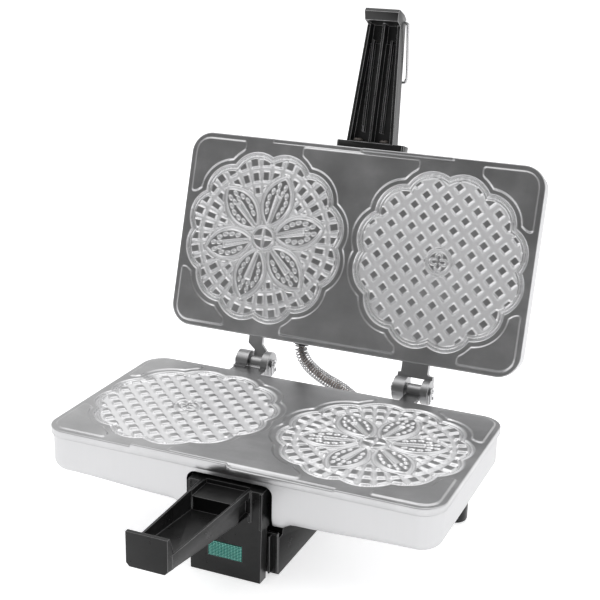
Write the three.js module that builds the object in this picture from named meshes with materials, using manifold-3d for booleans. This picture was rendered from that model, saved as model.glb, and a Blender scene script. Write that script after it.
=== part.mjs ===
// Electric waffle and pizzelle maker with a hinged lid, in millimetres, +Z up.
// Everything is drawn in the frame of the lower baking plate: X to the right, Y to the back
// and Z up from the parting plane. The whole is then lifted so that its feet stand on z = 0.
// Lid pieces are drawn with the lid shut and then turned open about the hinge axis.
import * as THREE from "three";
import { mergeVertices } from "three/addons/utils/BufferGeometryUtils.js";
import { ConvexGeometry } from "three/addons/geometries/ConvexGeometry.js";
import Module from "manifold-3d";

const wasm = await Module();
wasm.setup();

// ---- driving dimensions, mm ----
const PLATE_W = 268; // width of each baking plate
const PLATE_D = 145.3; // depth of each baking plate
const PLATE_R = 16; // corner radius in plan
const BAND = 6; // height of the cast edge band
const FIELD = 0.8; // depth of the overflow field below the lands
const GROOVE = 2.4; // depth of the pattern grooves below the parting plane
const FLOWER_X = 67.2; // centre of each scalloped cookie
const FLOWER_Y = 0.5;
const FLOWER_R = 63.3; // radius of the scalloped outline, about 5 inches across
const LOBES = 12;
const GRID_PITCH = 10.7; // waffle grid
const GRID_GROOVE = 2.4;
const GAP = 0.3; // gap kept between touching pieces
const SHELL_INSET = 1.5; // step from the cast band to the polished shell
const SHELL_WALL = 1.4;
const BASE_DEPTH = 31; // parting plane to the bottom of the base shell
const LID_DEPTH = 29; // parting plane to the top of the lid shell
const TABLE = 73; // parting plane to the table
const HINGE_Y = 91.2; // hinge axis, parallel to X
const HINGE_Z = 0.3;
const LID_OPEN = 106.8; // degrees that the resting lid is turned from shut
const PIN_R = 2.4;
const BORE_R = 2.7;
const BARREL_R = 4.6;
const LATCH_Y = -166.5; // pivot of the wire latch, lid shut
const LATCH_Z = 20.5;
const LATCH_REACH = 43;
const LATCH_HANG = 16.8; // degrees of the hanging latch from the handle's length
const LATCH_R = 1.15;
const LEAD_Z = 15.5; // height of the lead gland in the lid, lid shut
const FOOT_X = 106.5; // rear feet, far enough back to carry the open lid
const FOOT_Y = 58.5;
const CENTRE_Y = 10.11; // puts the middle of the whole at y = 0

const HALF_W = PLATE_W / 2;
const HALF_D = PLATE_D / 2;
const RAD = Math.PI / 180;

// ---- helpers ----

// A watertight manifold from a three.js geometry.
function solid(geometry) {
  const bare = new THREE.BufferGeometry();
  bare.setAttribute("position", geometry.getAttribute("position").clone());
  if (geometry.index) {
    bare.setIndex(geometry.index.clone());
  }
  const merged = mergeVertices(bare, 1e-4);
  const position = merged.getAttribute("position").array;
  const index = Array.from(merged.index.array);
  let volume = 0;
  for (let i = 0; i < index.length; i += 3) {
    const corner = (k) => new THREE.Vector3().fromArray(position, 3 * index[i + k]);
    const [a, b, c] = [corner(0), corner(1), corner(2)];
    volume += a.dot(b.cross(c));
  }
  const faces = [];
  for (let i = 0; i < index.length; i += 3) {
    const [a, b, c] = [index[i], index[i + 1], index[i + 2]];
    if (a === b || b === c || a === c) {
      continue;
    }
    faces.push(...(volume < 0 ? [a, c, b] : [a, b, c]));
  }
  const mesh = new wasm.Mesh({
    numProp: 3,
    vertProperties: new Float32Array(position),
    triVerts: new Uint32Array(faces),
  });
  return new wasm.Manifold(mesh);
}

// The three.js geometry of a manifold.
function geometryOf(manifold) {
  const mesh = manifold.getMesh();
  const points = [];
  for (let i = 0; i < mesh.vertProperties.length; i += mesh.numProp) {
    points.push(mesh.vertProperties[i], mesh.vertProperties[i + 1], mesh.vertProperties[i + 2]);
  }
  const geometry = new THREE.BufferGeometry();
  geometry.setAttribute("position", new THREE.Float32BufferAttribute(points, 3));
  geometry.setIndex(new THREE.Uint32BufferAttribute(Array.from(mesh.triVerts), 1));
  return mergeVertices(geometry, 1e-4);
}

function box(x0, x1, y0, y1, z0, z1) {
  const geometry = new THREE.BoxGeometry(x1 - x0, y1 - y0, z1 - z0);
  geometry.translate((x0 + x1) / 2, (y0 + y1) / 2, (z0 + z1) / 2);
  return solid(geometry);
}

// An upright prism on a plan outline given as [x, y] pairs.
function prism(points, z0, z1) {
  const shape = new THREE.Shape(points.map(([x, y]) => new THREE.Vector2(x, y)));
  const geometry = new THREE.ExtrudeGeometry(shape, { depth: z1 - z0, bevelEnabled: false });
  geometry.translate(0, 0, z0);
  return solid(geometry);
}

// A prism along X on an outline given as [y, z] pairs.
function prismX(points, x0, x1) {
  const shape = new THREE.Shape(points.map(([y, z]) => new THREE.Vector2(y, z)));
  const geometry = new THREE.ExtrudeGeometry(shape, { depth: x1 - x0, bevelEnabled: false });
  geometry.rotateY(Math.PI / 2);
  geometry.rotateX(Math.PI / 2);
  geometry.translate(x0, 0, 0);
  return solid(geometry);
}

// A prism along Y on an outline given as [x, z] pairs.
function prismY(points, y0, y1) {
  const shape = new THREE.Shape(points.map(([x, z]) => new THREE.Vector2(x, z)));
  const geometry = new THREE.ExtrudeGeometry(shape, { depth: y1 - y0, bevelEnabled: false });
  geometry.rotateX(Math.PI / 2);
  geometry.translate(0, y1, 0);
  return solid(geometry);
}

function rodX(r, x0, x1, y, z, segments = 20) {
  const geometry = new THREE.CylinderGeometry(r, r, x1 - x0, segments);
  geometry.rotateZ(Math.PI / 2);
  geometry.translate((x0 + x1) / 2, y, z);
  return solid(geometry);
}

function rodY(r, y0, y1, x, z, segments = 16) {
  const geometry = new THREE.CylinderGeometry(r, r, y1 - y0, segments);
  geometry.translate(x, (y0 + y1) / 2, z);
  return solid(geometry);
}

function rodZ(rTop, rBottom, z0, z1, x, y, segments = 20) {
  const geometry = new THREE.CylinderGeometry(rTop, rBottom, z1 - z0, segments);
  geometry.rotateX(Math.PI / 2);
  geometry.translate(x, y, (z0 + z1) / 2);
  return solid(geometry);
}

// The convex solid round a list of [x, y, z] corners.
function hull(corners) {
  return solid(new ConvexGeometry(corners.map(([x, y, z]) => new THREE.Vector3(x, y, z))));
}

// The eight corners of a section x +-hx, z0 to z1 at each of two y stations.
function taper(y0, hx0, a0, b0, y1, hx1, a1, b1) {
  const corners = [];
  for (const [y, hx, a, b] of [[y0, hx0, a0, b0], [y1, hx1, a1, b1]]) {
    corners.push([-hx, y, a], [hx, y, a], [-hx, y, b], [hx, y, b]);
  }
  return hull(corners);
}

// A round bar swept along a smooth curve through [x, y, z] points.
function sweep(points, r, steps, sides = 8) {
  const curve = new THREE.CatmullRomCurve3(points.map(([x, y, z]) => new THREE.Vector3(x, y, z)));
  const ring = [];
  for (let i = 0; i < sides; i += 1) {
    const a = (2 * Math.PI * i) / sides;
    ring.push(new THREE.Vector2(r * Math.cos(a), r * Math.sin(a)));
  }
  const options = { steps, bevelEnabled: false, extrudePath: curve };
  return solid(new THREE.ExtrudeGeometry(new THREE.Shape(ring), options));
}

// The plan of a rectangle with rounded corners.
function roundedRect(x0, x1, y0, y1, r, segments = 5) {
  const points = [];
  const centres = [[x1 - r, y0 + r, -90], [x1 - r, y1 - r, 0], [x0 + r, y1 - r, 90], [x0 + r, y0 + r, 180]];
  for (const [cx, cy, start] of centres) {
    for (let i = 0; i <= segments; i += 1) {
      const a = (start + (90 * i) / segments) * RAD;
      points.push([cx + r * Math.cos(a), cy + r * Math.sin(a)]);
    }
  }
  return points;
}

// ---- the two plate castings ----

// The scalloped outline of one cookie, moved in or out by an offset.
function scallop(cx, cy, offset, perLobe = 4) {
  const rc = 0.66 * FLOWER_R; // circle of the lobe centres
  const rl = FLOWER_R - rc + offset; // lobe radius
  const points = [];
  for (let i = 0; i < LOBES * perLobe; i += 1) {
    const t = ((i % perLobe) / perLobe - 0.5) * ((2 * Math.PI) / LOBES);
    const mid = (15 + (360 / LOBES) * Math.floor(i / perLobe)) * RAD;
    const reach = rc * Math.cos(t) + Math.sqrt(rl * rl - (rc * Math.sin(t)) ** 2);
    points.push([cx + reach * Math.cos(mid + t), cy + reach * Math.sin(mid + t)]);
  }
  return points;
}

// A pointed petal on a flower, pointing along an angle in degrees.
function petal(cx, cy, angle, r0, r1, halfWidth) {
  const outline = [];
  const side = [[0, 0], [0.2, 0.62], [0.45, 1], [0.7, 0.82], [0.88, 0.42], [1, 0]];
  for (const [s, w] of side) {
    outline.push([r0 + s * (r1 - r0), -w * halfWidth]);
  }
  for (const [s, w] of side.slice(1, -1).reverse()) {
    outline.push([r0 + s * (r1 - r0), w * halfWidth]);
  }
  const c = Math.cos(angle * RAD);
  const n = Math.sin(angle * RAD);
  return outline.map(([u, v]) => [cx + u * c - v * n, cy + u * n + v * c]);
}

// A tall cutter on a plan outline, reaching down to the groove floor.
function cutter(points) {
  return prism(points, -GROOVE, 1);
}

// The waffle grid of one cookie: diagonal grooves inside a scalloped border.
function gridPattern(cx, cy) {
  const bars = [];
  for (const turn of [45, -45]) {
    for (let i = -5.5; i <= 5.5; i += 1) {
      const bar = box(-70, 70, i * GRID_PITCH - GRID_GROOVE / 2, i * GRID_PITCH + GRID_GROOVE / 2, -GROOVE, 1);
      bars.push(bar.rotate([0, 0, turn]).translate([cx, cy, 0]));
    }
  }
  const inside = cutter(scallop(cx, cy, -4));
  const border = cutter(scallop(cx, cy, 0)).subtract(cutter(scallop(cx, cy, -2.2)));
  return wasm.Manifold.union(bars).intersect(inside).add(border);
}

// The daisy of one cookie: six petals round a centre boss, inside the same border.
function daisyPattern(cx, cy) {
  let grooves = cutter(scallop(cx, cy, 0)).subtract(cutter(scallop(cx, cy, -2.2)));
  for (let i = 0; i < 6; i += 1) {
    const angle = 15 + 60 * i;
    const outer = cutter(petal(cx, cy, angle, 7, 50, 14));
    const inner = cutter(petal(cx, cy, angle, 11, 45, 11));
    const stem = cutter(petal(cx, cy, angle, 14, 40, 1.6));
    grooves = grooves.add(outer.subtract(inner)).add(stem);
    const ray = box(30, 56, -1.2, 1.2, -GROOVE, 1).rotate([0, 0, angle + 30]).translate([cx, cy, 0]);
    grooves = grooves.add(ray);
  }
  return grooves;
}

// One half of the pair of identical castings: grid at the left, daisy at the right, and along
// the front edge a lip at the left that fits the rebate of the other half.
function casting() {
  const plan = roundedRect(-HALF_W, HALF_W, -HALF_D, HALF_D, PLATE_R);
  let plate = prism(plan, -BAND, -FIELD);
  let lands = prism(roundedRect(3 - HALF_W, HALF_W - 3, 3 - HALF_D, HALF_D - 3, PLATE_R - 3), -BAND / 2, 0);
  for (const side of [-1, 1]) {
    const x = side * FLOWER_X;
    lands = lands.subtract(prism(scallop(x, FLOWER_Y, 3.3), -BAND, 1));
    lands = lands.subtract(box(x - 22, x + 22, -HALF_D, HALF_D, -BAND, 1));
    lands = lands.subtract(box(side * 126.5 - 5, side * 126.5 + 5, -28, 28, -BAND, 1));
  }
  plate = plate.add(lands);
  plate = plate.subtract(gridPattern(-FLOWER_X, FLOWER_Y));
  plate = plate.subtract(daisyPattern(FLOWER_X, FLOWER_Y));
  plate = plate.add(box(-68, -1, -HALF_D, 2.4 - HALF_D, -2, 1));
  return plate.subtract(box(0.5, 69, -HALF_D - 1, 2.9 - HALF_D, -1.6, 3));
}

// A boss under a casting, with a blind hole for the shell bolt.
function withBoss(plate, x) {
  const boss = rodZ(5, 5.6, -12, -BAND + 1, x, 8, 16);
  return plate.add(boss).subtract(rodZ(2.3, 2.3, -13, -7.5, x, 8, 12));
}

function basePlate() {
  let plate = withBoss(withBoss(casting(), -60), 60);
  // Left hinge: a fork of two lugs.
  plate = plate.add(box(-71.5, -46.4, HALF_D - 2, 84, -BAND, -FIELD));
  plate = plate.add(rodX(8, -72, -62.7, HINGE_Y, HINGE_Z)).add(box(-72, -62.7, 80, HINGE_Y, -BAND, 0));
  plate = plate.add(rodX(9.2, -51.4, -46.2, HINGE_Y, HINGE_Z)).add(box(-51.4, -46.2, 80, HINGE_Y, -BAND, 0));
  // Right hinge: a tongue with one barrel.
  plate = plate.add(box(58.8, 69.2, HALF_D - 2, HINGE_Y, -BAND + 1.7, -FIELD));
  plate = plate.add(rodX(BARREL_R, 58.8, 69.2, HINGE_Y, HINGE_Z));
  return plate.subtract(rodX(BORE_R, -80, -40, HINGE_Y, HINGE_Z)).subtract(rodX(BORE_R, 45, 80, HINGE_Y, HINGE_Z));
}

// Drawn with the lid shut: the same casting turned over about Y, with the other hinge halves.
function lidPlate() {
  let plate = withBoss(withBoss(casting(), -60), 60).rotate([0, 180, 0]).translate([0, 0, GAP]);
  const low = FIELD + GAP;
  const high = BAND + GAP;
  // Left hinge: a tongue that steps sideways to its barrel.
  const left = [[-67.5, 70], [-56.5, 70], [-56.5, 78], [-52.3, 82.4], [-52.3, HINGE_Y], [-61.8, HINGE_Y], [-61.8, 82.4]];
  left.push([-67.5, 78]);
  plate = plate.add(prism(left, low, high - 1.7)).add(rodX(BARREL_R, -61.8, -52.3, HINGE_Y, HINGE_Z));
  // Right hinge: an arm with two lugs that reach down past the pin.
  plate = plate.add(prism([[51.5, 70], [70.8, 70], [70.8, 79], [75, 82.8], [49.4, 82.8], [51.5, 79]], low, high));
  plate = plate.add(rodX(8.6, 49.4, 58, HINGE_Y, HINGE_Z)).add(rodX(8.6, 69.9, 75, HINGE_Y, HINGE_Z));
  plate = plate.add(box(49.4, 58, 80, HINGE_Y, low, high)).add(box(69.9, 75, 80, HINGE_Y, low, high));
  return plate.subtract(rodX(BORE_R, -80, -40, HINGE_Y, HINGE_Z)).subtract(rodX(BORE_R, 45, 80, HINGE_Y, HINGE_Z));
}

// ---- housings ----

// An open-topped pan below z = top with a rounded lower edge.
function pan(top, depth, fillet, inset) {
  const block = (grow, drop, r) => {
    const hw = HALF_W - inset - grow - r;
    const hd = HALF_D - inset - grow - r;
    const shape = new THREE.Shape(
      roundedRect(-hw, hw, -hd, hd, Math.max(1, PLATE_R - inset - grow - r), 4).map(([x, y]) => new THREE.Vector2(x, y)),
    );
    const options = { depth: 60, bevelEnabled: true, bevelThickness: r, bevelSize: r, bevelSegments: 3 };
    const geometry = new THREE.ExtrudeGeometry(shape, options);
    geometry.translate(0, 0, -depth + drop + r);
    return solid(geometry);
  };
  const outer = block(0, 0, fillet).intersect(box(-200, 200, -200, 200, -100, top));
  return outer.subtract(block(SHELL_WALL, SHELL_WALL, fillet - SHELL_WALL + 0.4));
}

function baseShell() {
  let shell = pan(-BAND - GAP, BASE_DEPTH, 7, SHELL_INSET);
  const front = SHELL_INSET - HALF_D;
  // Lower lip at the front, beside the handle block.
  shell = shell.add(box(-39, 39, front + 3, front + 6, -35, 2 - BASE_DEPTH));
  // Notch for the handle block, open at the bottom.
  const notch = roundedRect(-29, 29, -60, -9, 6, 4);
  shell = shell.subtract(prismY(notch, -90, -58));
  for (const x of [-60, 60]) {
    shell = shell.subtract(rodZ(2.4, 2.4, -40, -20, x, 8, 12));
  }
  shell = shell.subtract(rodY(5.4, 60, 90, 36, -19)).subtract(rodY(5.4, 60, 90, -36, -19));
  return shell.subtract(box(-20, 20, -40, -10, -40, -20));
}

function lidShell() {
  let shell = pan(-BAND - GAP, LID_DEPTH, 10, SHELL_INSET);
  for (const x of [-60, 60]) {
    shell = shell.subtract(rodZ(2.4, 2.4, -40, -20, x, 8, 12));
  }
  shell = shell.rotate([0, 180, 0]).translate([0, 0, GAP]);
  shell = shell.subtract(rodY(2.3, -90, -60, -10, 18.2)).subtract(rodY(2.3, -90, -60, 10, 18.2));
  return shell.subtract(rodY(5.4, 60, 90, -31, LEAD_Z));
}

// ---- handles ----

function lowerHandle() {
  const tipY = -166;
  const root = -76;
  let trough = taper(root + 1, 17, -27.6, -11, tipY, 13.8, -17.8, -9.2);
  trough = trough.add(hull([
    [-13, -170, -17.8], [13, -170, -17.8], [-13, -170, 1.3], [13, -170, 1.3], [-11, -170, -20], [11, -170, -20],
    [-13, -167.4, 1.3], [13, -167.4, 1.3], [-13.6, -164, -18.4], [13.6, -164, -18.4], [-13.8, -164, -9], [13.8, -164, -9],
  ]));
  const neck = -91; // the trough proper ends here, and a solid neck joins it to the block
  const hollow = taper(neck, 15.1, -23.6, 4, -163.5, 12.6, -15.2, 4).add(box(-14.6, 14.6, neck - 0.5, -72, -14.5, 0));
  const face = prismY([[-24, -TABLE], [24, -TABLE], [25, -11.5], [-25, -11.5]], root, -64.3);
  const block = face.subtract(box(-30, 30, -67.6, -60, -80, -38)); // thinner below the housing
  let handle = block.add(trough).subtract(hollow);
  // Pocket for the lamp behind the lens window.
  handle = handle.subtract(box(-11.7, 11.7, -80, -70, -61.2, -50.3));
  handle = handle.subtract(box(-18, 18, -72.5, -60, -66, -38));
  for (const side of [-1, 1]) {
    handle = handle.subtract(box(side * 17.2 - 3, side * 17.2 + 3, neck, root - 1, -25.8, -15.5));
    handle = handle.add(box(side * 16.9 - 0.9, side * 16.9 + 0.9, -77.4, -75, -32, -12));
    handle = handle.add(box(side * 24.2 - 0.9, side * 24.2 + 0.9, -77, -75, -36, -12));
  }
  return handle.subtract(rodY(2.2, -80, -60, 0, -20, 12));
}

// Drawn with the lid shut.
function upperHandle() {
  const outer = taper(-78, 17.7, 15, 27, -165, 12.2, 11.4, 23.4);
  const lip = hull([
    [-12.2, -162, 12], [12.2, -162, 12], [-12.2, -162, 23], [12.2, -162, 23], [-12.9, -170, 2.8], [12.9, -170, 2.8],
    [-12.9, -172.4, 4.5], [12.9, -172.4, 4.5], [-12, -171.8, 18], [12, -171.8, 18], [-11.6, -169.6, 25], [11.6, -169.6, 25],
    [-12.4, -164, 4.6], [12.4, -164, 4.6], [-11.8, -165.5, 25.4], [11.8, -165.5, 25.4],
  ]);
  let handle = outer.add(lip);
  handle = handle.subtract(taper(-78.4, 15.2, 10, 22.5, -150, 10.9, 5, 19.4));
  handle = handle.subtract(taper(-150, 10.9, 5, 20.8, -163.4, 10.2, 5, 20.4));
  const rib = (x, y, top, end) => taper(y, 0.9, top, 25, end, 0.8, top - 3.6, 21).translate([x, 0, 0]);
  handle = handle.add(rib(0, -78, 15, -163.4)).add(rib(-8, -86, 19, -152)).add(rib(6, -86, 19, -152));
  const flange = roundedRect(-26, 26, 15.2, 28.6, 3, 3);
  handle = handle.add(prismY(flange, -78.4, -71.4));
  handle = handle.subtract(rodY(2.3, -90, -60, -10, 18.2, 12)).subtract(rodY(2.3, -90, -60, 10, 18.2, 12));
  return handle.subtract(rodX(1.5, -20, -9, LATCH_Y, LATCH_Z, 12)).subtract(rodX(1.5, 9, 20, LATCH_Y, LATCH_Z, 12));
}

// The latch wire with the lid shut, hanging as it does when the lid rests open.
function latchWire() {
  const c = Math.cos(LATCH_HANG * RAD);
  const s = Math.sin(LATCH_HANG * RAD);
  const at = (x, d) => [x, LATCH_Y + d * c, LATCH_Z + d * s];
  const reach = LATCH_REACH;
  const half = [at(10.6, 0), at(13, 0), at(14.4, 1), at(14.9, 4), at(15.7, reach - 7), at(15, reach - 2), at(12, reach)];
  const mirror = half.map(([x, y, z]) => [-x, y, z]);
  return sweep([...mirror, ...half.reverse()], LATCH_R, 40, 8);
}

// ---- base fittings ----

function baseChannel() {
  const side = [[-61, -TABLE], [24, -TABLE], [24, -60], [14, -31.3], [-52, -31.3], [-56, -47.5], [-61, -47.5]];
  const cavity = [[-58.5, -80], [21.5, -80], [21.5, -61], [12, -34], [-49.5, -34], [-53.5, -50], [-58.5, -50]];
  let channel = prismX(side, -29.7, 29.7).subtract(prismX(cavity, -27.2, 27.2));
  for (const x of [-26.5, -20, 20, 26.5]) {
    channel = channel.add(box(x - 0.8, x + 0.8, -62, -60, -71, -47.5));
  }
  return channel.subtract(rodZ(2.4, 2.4, -40, -28, 0, 2, 12));
}

function handleSeal() {
  return prismY(roundedRect(-28.4, 28.4, -36, -9.6, 5, 3), -64, -61.3).subtract(rodY(2.4, -70, -58, 0, -20, 12));
}

function rearFoot(side) {
  const foot = rodZ(9.6, 9, -TABLE, -31.3, side * FOOT_X, FOOT_Y, 20);
  return foot.subtract(rodZ(2.4, 2.4, -32, -24, side * FOOT_X, FOOT_Y, 12));
}

function footStud(side) {
  return rodZ(4.2, 4.2, -29.2, -26.6, side * FOOT_X, FOOT_Y, 12);
}

// A sheathed heating element under a plate.
function heater() {
  const z = -BAND - GAP - 3.3;
  const half = [[8, 40, z], [14, 50, z], [30, 55, z], [95, 55, z], [111, 48, z], [114, 30, z], [114, -30, z]];
  half.push([111, -48, z], [95, -55, z], [30, -55, z]);
  const mirror = half.map(([x, y, h]) => [-x, y, h]).reverse();
  const loop = [...half, ...mirror];
  return sweep(loop, 3.2, 44, 7);
}

function shellBolt(x, bottom) {
  return rodZ(2, 2, -bottom - 1, -8, x, 8, 12).add(rodZ(4.4, 3.8, -bottom - 2.6, -bottom - GAP, x, 8, 16));
}

// A sheet below the heater: thin in the lid, and a stout plate in the base, where it carries the
// fittings and steadies the open lid.
function reflector(thickness) {
  let sheet = prism(roundedRect(-122, 122, -56, 60, 8, 3), -17.8 - thickness, -17.8);
  for (const x of [-60, 60]) {
    sheet = sheet.subtract(rodZ(6.4, 6.4, -20, -16, x, 8, 12));
  }
  return sheet;
}

function thermostat() {
  return rodZ(9, 9, -17.2, -BAND - GAP, 0, 14, 20).add(box(-11, 11, 11, 17, -12, -9));
}

function thermalFuse() {
  return rodX(2.2, 24, 38, 14, -9, 10).add(rodX(0.6, 18, 44, 14, -9, 8));
}

function terminalBlock() {
  return box(-18, 18, 30, 44, -29.3, -20.3).subtract(rodY(2, 28, 46, -10, -24, 10)).subtract(rodY(2, 28, 46, 10, -24, 10));
}

function lens() {
  return box(-11.4, 11.4, -76.6, -73, -60.9, -50.6);
}

function lamp() {
  return rodX(2.8, -9, 9, -69.2, -55.8, 12);
}

function gland(x, y0, y1, z) {
  const wall = HALF_D - SHELL_INSET;
  const sleeve = rodY(5.1, y0, y1, x, z, 20).add(rodY(7, wall + GAP, wall + 2.6, x, z, 20));
  return sleeve.subtract(rodY(3.4, y0 - 1, y1 + 1, x, z, 16));
}

// ---- hinge pins ----

function hingePin(x0, x1, headAt) {
  const head = headAt < 0 ? rodX(3.5, x0 - 2.2, x0 + 0.2, HINGE_Y, HINGE_Z) : rodX(3.5, x1 - 0.2, x1 + 2.2, HINGE_Y, HINGE_Z);
  return rodX(PIN_R, x0, x1, HINGE_Y, HINGE_Z).add(head);
}

// A spring clip that straddles the free end of a pin.
function pinClip(x) {
  const r = PIN_R + 0.3 + 0.7;
  const points = [[x, HINGE_Y - r, HINGE_Z - 7], [x, HINGE_Y - r, HINGE_Z]];
  for (const a of [150, 120, 90, 60, 30]) {
    points.push([x, HINGE_Y + r * Math.cos(a * RAD), HINGE_Z + r * Math.sin(a * RAD)]);
  }
  points.push([x, HINGE_Y + r, HINGE_Z], [x, HINGE_Y + r, HINGE_Z - 6]);
  return sweep(points, 0.7, 16, 6);
}

// ---- the armoured lead between the two housings, lid open ----

const LEAD = [
  [-31, 110.4, 11.5], [-30.9, 109.7, 9], [-30, 108.8, 6.6], [-27.2, 107, 3], [-19.5, 103, -2], [-7, 98, -6],
  [7, 93, -8.8], [19, 87.4, -12], [28, 83, -15.8], [33.8, 80, -18.1], [35.9, 77.6, -18.9], [36, 75.4, -19],
];

function leadSpring() {
  return sweep(LEAD, 5, 24, 9).subtract(sweep(LEAD, 3.4, 24, 9));
}

function upperScrew(x) {
  return rodY(2, -80.4, -68, x, 18.2, 10).add(rodY(3.6, -81.2, -78.7, x, 18.2, 14));
}

function lowerScrew() {
  return rodY(2, -70, -58.5, 0, -20, 12).add(rodY(4, -60.9, -58, 0, -20, 14));
}

// ---- assembly ----

const MATERIALS = {
  cast_aluminium: { color: 0x9a9a9c, metalness: 0.9, roughness: 0.42 },
  polished_shell: { color: 0xd4d5d6, metalness: 0.95, roughness: 0.16 },
  black_phenolic: { color: 0x161617, metalness: 0, roughness: 0.38 },
  green_lens: { color: 0x1f9c84, metalness: 0, roughness: 0.25 },
  steel: { color: 0xb9babb, metalness: 0.95, roughness: 0.28 },
  rubber_black: { color: 0x101010, metalness: 0, roughness: 0.8 },
  aluminium_sheet: { color: 0xc4c5c6, metalness: 0.95, roughness: 0.35 },
  ceramic: { color: 0xd9d3c4, metalness: 0, roughness: 0.7 },
  neon_glass: { color: 0xe0e6dc, metalness: 0, roughness: 0.1 },
  lead_spring: { color: 0xb4b5b3, metalness: 0.95, roughness: 0.3 },
};

const part = new THREE.Group();
part.name = "waffle_maker";

function place(name, slot, manifold) {
  const geometry = geometryOf(manifold.translate([0, -CENTRE_Y, TABLE]));
  const material = new THREE.MeshStandardMaterial(MATERIALS[slot]);
  material.name = slot;
  const mesh = new THREE.Mesh(geometry, material);
  mesh.name = name;
  part.add(mesh);
}

// Turns a piece that was drawn with the lid shut to where the open lid carries it.
function opened(manifold) {
  const moved = manifold.translate([0, -HINGE_Y, -HINGE_Z]).rotate([-LID_OPEN, 0, 0]);
  return moved.translate([0, HINGE_Y, HINGE_Z]);
}

// A lower fitting turned over about Y so that it serves the lid.
function turned(manifold) {
  return manifold.rotate([0, 180, 0]).translate([0, 0, GAP]);
}

place("base_plate", "cast_aluminium", basePlate());
place("base_shell", "polished_shell", baseShell());
place("lower_handle", "black_phenolic", lowerHandle());
place("handle_seal", "black_phenolic", handleSeal());
place("handle_screw", "steel", lowerScrew());
place("indicator_lens", "green_lens", lens());
place("indicator_lamp", "neon_glass", lamp());
place("base_channel", "black_phenolic", baseChannel());
place("rear_foot_left", "rubber_black", rearFoot(-1));
place("rear_foot_right", "rubber_black", rearFoot(1));
place("foot_stud_left", "steel", footStud(-1));
place("foot_stud_right", "steel", footStud(1));
place("base_heater", "steel", heater());
place("base_reflector", "steel", reflector(2));
place("base_bolt_left", "steel", shellBolt(-60, BASE_DEPTH));
place("base_bolt_right", "steel", shellBolt(60, BASE_DEPTH));
place("thermostat", "ceramic", thermostat());
place("thermal_fuse", "steel", thermalFuse());
place("terminal_block", "ceramic", terminalBlock());
place("lead_gland_base", "rubber_black", gland(36, 64, 75, -19));
place("cord_gland", "rubber_black", gland(-36, 64, 78, -19));
place("hinge_pin_left", "steel", hingePin(-72.6, -43, -1));
place("hinge_pin_right", "steel", hingePin(48.8, 77.6, -1));
place("pin_clip_left", "steel", pinClip(-44.6));
place("pin_clip_right", "steel", pinClip(76.2));
place("lead_spring", "lead_spring", leadSpring());
place("lead_cable", "rubber_black", sweep(LEAD, 2.1, 24, 8));

place("lid_plate", "cast_aluminium", opened(lidPlate()));
place("lid_shell", "polished_shell", opened(lidShell()));
place("upper_handle", "black_phenolic", opened(upperHandle()));
place("handle_screw_left", "steel", opened(upperScrew(-10)));
place("handle_screw_right", "steel", opened(upperScrew(10)));
place("lid_heater", "steel", opened(turned(heater())));
place("lid_reflector", "aluminium_sheet", opened(turned(reflector(0.5))));
place("lid_bolt_left", "steel", opened(turned(shellBolt(60, LID_DEPTH))));
place("lid_bolt_right", "steel", opened(turned(shellBolt(-60, LID_DEPTH))));
place("lead_gland_lid", "rubber_black", opened(gland(-31, 64, 74.6, LEAD_Z)));
place("latch_wire", "steel", opened(latchWire()));

export default part;
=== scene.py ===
"""Waffle maker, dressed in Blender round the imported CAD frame. Lengths are millimetres in the frame
of the lower plate (X right, Y back, Z up from the parting plane) until place() turns them into the
row frame in metres. Lid pieces are drawn with the lid shut and then opened about the hinge."""

import math

import bmesh
import bpy
import numpy as np
from mathutils import Matrix, Vector


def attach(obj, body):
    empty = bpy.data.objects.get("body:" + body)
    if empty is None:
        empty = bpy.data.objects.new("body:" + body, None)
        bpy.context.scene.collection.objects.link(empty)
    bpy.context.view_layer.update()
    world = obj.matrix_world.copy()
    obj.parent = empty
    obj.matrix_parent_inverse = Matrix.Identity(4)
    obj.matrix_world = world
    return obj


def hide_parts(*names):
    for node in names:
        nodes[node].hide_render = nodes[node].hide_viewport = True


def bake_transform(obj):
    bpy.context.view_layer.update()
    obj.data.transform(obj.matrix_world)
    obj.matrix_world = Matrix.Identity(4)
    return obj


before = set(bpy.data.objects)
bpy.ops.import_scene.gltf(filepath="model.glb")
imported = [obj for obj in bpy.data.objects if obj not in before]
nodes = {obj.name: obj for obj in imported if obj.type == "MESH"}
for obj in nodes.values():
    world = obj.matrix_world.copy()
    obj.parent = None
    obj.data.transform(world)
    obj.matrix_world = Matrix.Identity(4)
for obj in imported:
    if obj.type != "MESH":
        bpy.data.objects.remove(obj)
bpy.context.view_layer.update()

CENTRE_Y = 10.11
TABLE = 73.0
HALF_W, HALF_D, CORNER = 134.0, 72.65, 16.0
BAND, FIELD = 6.0, 0.8
GAP = 0.3
HINGE_Y, HINGE_Z, LID_OPEN = 91.2, 0.3, math.radians(106.8)
FLOWER_X, FLOWER_Y, FLOWER_R = 67.2, 0.5, 63.3
SHELL_INSET, BASE_DEPTH, LID_DEPTH = 1.5, 31.0, 29.0


def place(points, lid=False):
    """Plate-frame millimetres to row-frame metres, opened with the lid if asked."""
    p = np.array(points, float).reshape(-1, 3)
    if lid:
        y, z = p[:, 1] - HINGE_Y, p[:, 2] - HINGE_Z
        c, s = math.cos(LID_OPEN), math.sin(LID_OPEN)
        p[:, 1] = HINGE_Y + y * c + z * s
        p[:, 2] = HINGE_Z - y * s + z * c
    return (p + [0, -CENTRE_Y, TABLE]) / 1000


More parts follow.
